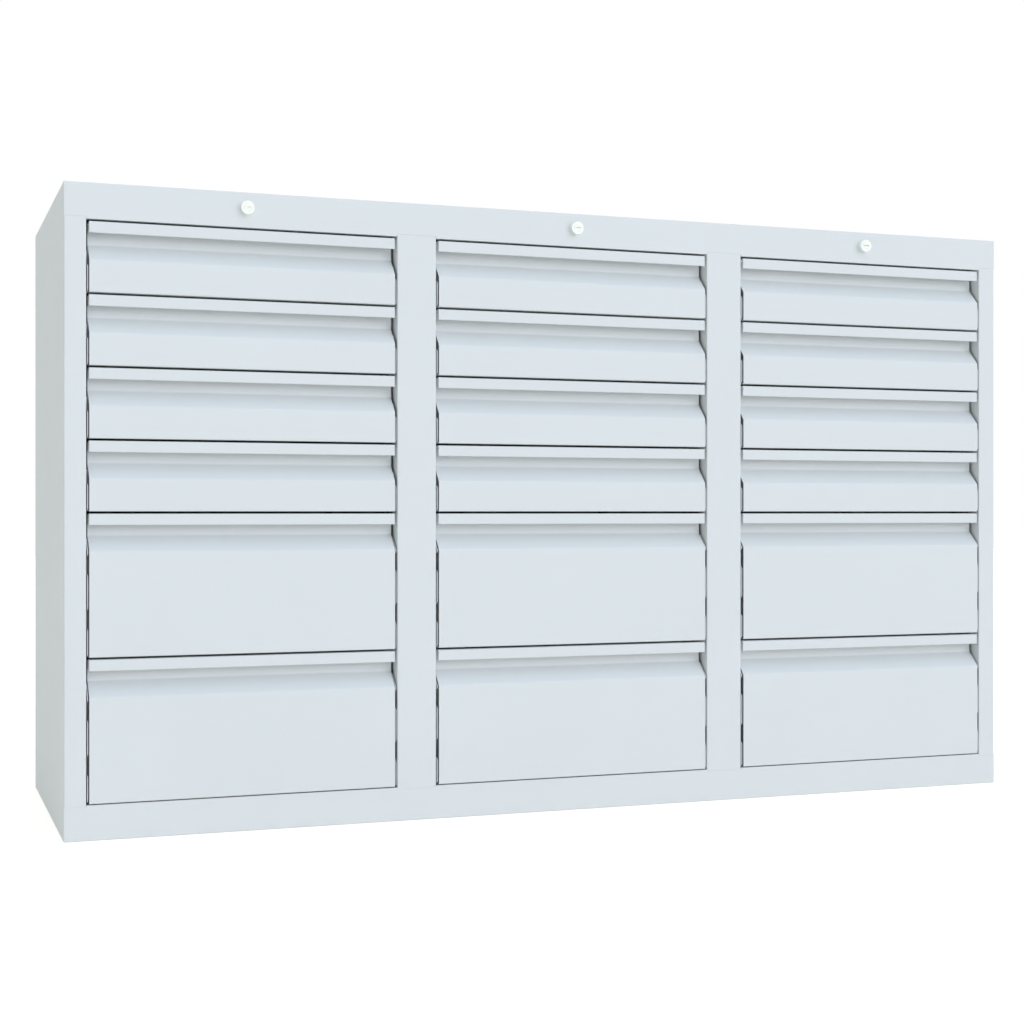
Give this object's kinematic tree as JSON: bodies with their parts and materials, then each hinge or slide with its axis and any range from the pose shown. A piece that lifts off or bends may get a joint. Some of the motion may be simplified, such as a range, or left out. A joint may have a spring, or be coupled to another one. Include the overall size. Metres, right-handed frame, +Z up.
{
  "type": "drawer cabinet",
  "caption": "Wide steel cabinet with side-by-side columns of lockable drawers, each front folded from one sheet with a finger grip across its full width.",
  "frame": {"origin": "on the floor, at the middle of the object's box", "axes": "+Z up, +X to the right seen from the front, drawers open towards -Y"},
  "size_m": [1.5, 0.51, 0.9],
  "materials": {
    "case_paint": "fine light grey powder coat",
    "front_paint": "fine light grey powder coat",
    "box_paint": "light grey powder coat",
    "zinc_steel": "bright zinc plate",
    "lock_chrome": "polished plate"
  },
  "bodies": {
    "cabinet": {"side_left": "case_paint", "side_right": "case_paint", "divider_left": "case_paint", "divider_right": "case_paint", "top_panel": "case_paint", "bottom_panel": "case_paint", "back_panel": "case_paint", "runner_posts": "zinc_steel", "lock_brackets": "zinc_steel", "lock_nuts": "zinc_steel", "cabinet_runners_left": "zinc_steel", "cabinet_runners_middle": "zinc_steel", "cabinet_runners_right": "zinc_steel", "lock_barrels": "lock_chrome"},
    "drawer_left_1": {"drawer_front_left_1": "front_paint", "drawer_box_left_1": "box_paint"},
    "drawer_left_2": {"drawer_front_left_2": "front_paint", "drawer_box_left_2": "box_paint"},
    "drawer_left_3": {"drawer_front_left_3": "front_paint", "drawer_box_left_3": "box_paint"},
    "drawer_left_4": {"drawer_front_left_4": "front_paint", "drawer_box_left_4": "box_paint"},
    "drawer_left_5": {"drawer_front_left_5": "front_paint", "drawer_box_left_5": "box_paint"},
    "drawer_left_6": {"drawer_front_left_6": "front_paint", "drawer_box_left_6": "box_paint"},
    "turning_lock_left": {"lock_plug_left": "lock_chrome", "lock_rod_left": "zinc_steel"},
    "sliding_bar_left": {"lock_bar_left": "zinc_steel"},
    "drawer_middle_1": {"drawer_front_middle_1": "front_paint", "drawer_box_middle_1": "box_paint"},
    "drawer_middle_2": {"drawer_front_middle_2": "front_paint", "drawer_box_middle_2": "box_paint"},
    "drawer_middle_3": {"drawer_front_middle_3": "front_paint", "drawer_box_middle_3": "box_paint"},
    "drawer_middle_4": {"drawer_front_middle_4": "front_paint", "drawer_box_middle_4": "box_paint"},
    "drawer_middle_5": {"drawer_front_middle_5": "front_paint", "drawer_box_middle_5": "box_paint"},
    "drawer_middle_6": {"drawer_front_middle_6": "front_paint", "drawer_box_middle_6": "box_paint"},
    "turning_lock_middle": {"lock_plug_middle": "lock_chrome", "lock_rod_middle": "zinc_steel"},
    "sliding_bar_middle": {"lock_bar_middle": "zinc_steel"},
    "drawer_right_1": {"drawer_front_right_1": "front_paint", "drawer_box_right_1": "box_paint"},
    "drawer_right_2": {"drawer_front_right_2": "front_paint", "drawer_box_right_2": "box_paint"},
    "drawer_right_3": {"drawer_front_right_3": "front_paint", "drawer_box_right_3": "box_paint"},
    "drawer_right_4": {"drawer_front_right_4": "front_paint", "drawer_box_right_4": "box_paint"},
    "drawer_right_5": {"drawer_front_right_5": "front_paint", "drawer_box_right_5": "box_paint"},
    "drawer_right_6": {"drawer_front_right_6": "front_paint", "drawer_box_right_6": "box_paint"},
    "turning_lock_right": {"lock_plug_right": "lock_chrome", "lock_rod_right": "zinc_steel"},
    "sliding_bar_right": {"lock_bar_right": "zinc_steel"}
  },
  "joints": [
    {"name": "drawer_left_1_slide", "type": "slide", "parent": "cabinet", "child": "drawer_left_1", "axis": [0, -1, 0], "range_m": [0, 0.35]},
    {"name": "drawer_left_2_slide", "type": "slide", "parent": "cabinet", "child": "drawer_left_2", "axis": [0, -1, 0], "range_m": [0, 0.35]},
    {"name": "drawer_left_3_slide", "type": "slide", "parent": "cabinet", "child": "drawer_left_3", "axis": [0, -1, 0], "range_m": [0, 0.35]},
    {"name": "drawer_left_4_slide", "type": "slide", "parent": "cabinet", "child": "drawer_left_4", "axis": [0, -1, 0], "range_m": [0, 0.35]},
    {"name": "drawer_left_5_slide", "type": "slide", "parent": "cabinet", "child": "drawer_left_5", "axis": [0, -1, 0], "range_m": [0, 0.35]},
    {"name": "drawer_left_6_slide", "type": "slide", "parent": "cabinet", "child": "drawer_left_6", "axis": [0, -1, 0], "range_m": [0, 0.35]},
    {"name": "lock_left_turn", "type": "hinge", "parent": "cabinet", "child": "turning_lock_left", "pos_m": [-0.5, -0.245, 0.8775], "axis": [0, 1, 0], "range_deg": [0, 90]},
    {"name": "lock_bar_left_lift", "type": "slide", "parent": "cabinet", "child": "sliding_bar_left", "axis": [0, 0, 1], "range_m": [0, 0.01414]},
    {"name": "drawer_middle_1_slide", "type": "slide", "parent": "cabinet", "child": "drawer_middle_1", "axis": [0, -1, 0], "range_m": [0, 0.35]},
    {"name": "drawer_middle_2_slide", "type": "slide", "parent": "cabinet", "child": "drawer_middle_2", "axis": [0, -1, 0], "range_m": [0, 0.35]},
    {"name": "drawer_middle_3_slide", "type": "slide", "parent": "cabinet", "child": "drawer_middle_3", "axis": [0, -1, 0], "range_m": [0, 0.35]},
    {"name": "drawer_middle_4_slide", "type": "slide", "parent": "cabinet", "child": "drawer_middle_4", "axis": [0, -1, 0], "range_m": [0, 0.35]},
    {"name": "drawer_middle_5_slide", "type": "slide", "parent": "cabinet", "child": "drawer_middle_5", "axis": [0, -1, 0], "range_m": [0, 0.35]},
    {"name": "drawer_middle_6_slide", "type": "slide", "parent": "cabinet", "child": "drawer_middle_6", "axis": [0, -1, 0], "range_m": [0, 0.35]},
    {"name": "lock_middle_turn", "type": "hinge", "parent": "cabinet", "child": "turning_lock_middle", "pos_m": [0, -0.245, 0.8775], "axis": [0, 1, 0], "range_deg": [0, 90]},
    {"name": "lock_bar_middle_lift", "type": "slide", "parent": "cabinet", "child": "sliding_bar_middle", "axis": [0, 0, 1], "range_m": [0, 0.01414]},
    {"name": "drawer_right_1_slide", "type": "slide", "parent": "cabinet", "child": "drawer_right_1", "axis": [0, -1, 0], "range_m": [0, 0.35]},
    {"name": "drawer_right_2_slide", "type": "slide", "parent": "cabinet", "child": "drawer_right_2", "axis": [0, -1, 0], "range_m": [0, 0.35]},
    {"name": "drawer_right_3_slide", "type": "slide", "parent": "cabinet", "child": "drawer_right_3", "axis": [0, -1, 0], "range_m": [0, 0.35]},
    {"name": "drawer_right_4_slide", "type": "slide", "parent": "cabinet", "child": "drawer_right_4", "axis": [0, -1, 0], "range_m": [0, 0.35]},
    {"name": "drawer_right_5_slide", "type": "slide", "parent": "cabinet", "child": "drawer_right_5", "axis": [0, -1, 0], "range_m": [0, 0.35]},
    {"name": "drawer_right_6_slide", "type": "slide", "parent": "cabinet", "child": "drawer_right_6", "axis": [0, -1, 0], "range_m": [0, 0.35]},
    {"name": "lock_right_turn", "type": "hinge", "parent": "cabinet", "child": "turning_lock_right", "pos_m": [0.5, -0.245, 0.8775], "axis": [0, 1, 0], "range_deg": [0, 90]},
    {"name": "lock_bar_right_lift", "type": "slide", "parent": "cabinet", "child": "sliding_bar_right", "axis": [0, 0, 1], "range_m": [0, 0.01414]}
  ],
  "couplings": [
    {"joint": "lock_left_turn", "follows": "lock_bar_left_lift", "rad_per_m": 111.05},
    {"joint": "lock_middle_turn", "follows": "lock_bar_middle_lift", "rad_per_m": 111.05},
    {"joint": "lock_right_turn", "follows": "lock_bar_right_lift", "rad_per_m": 111.05}
  ]
}
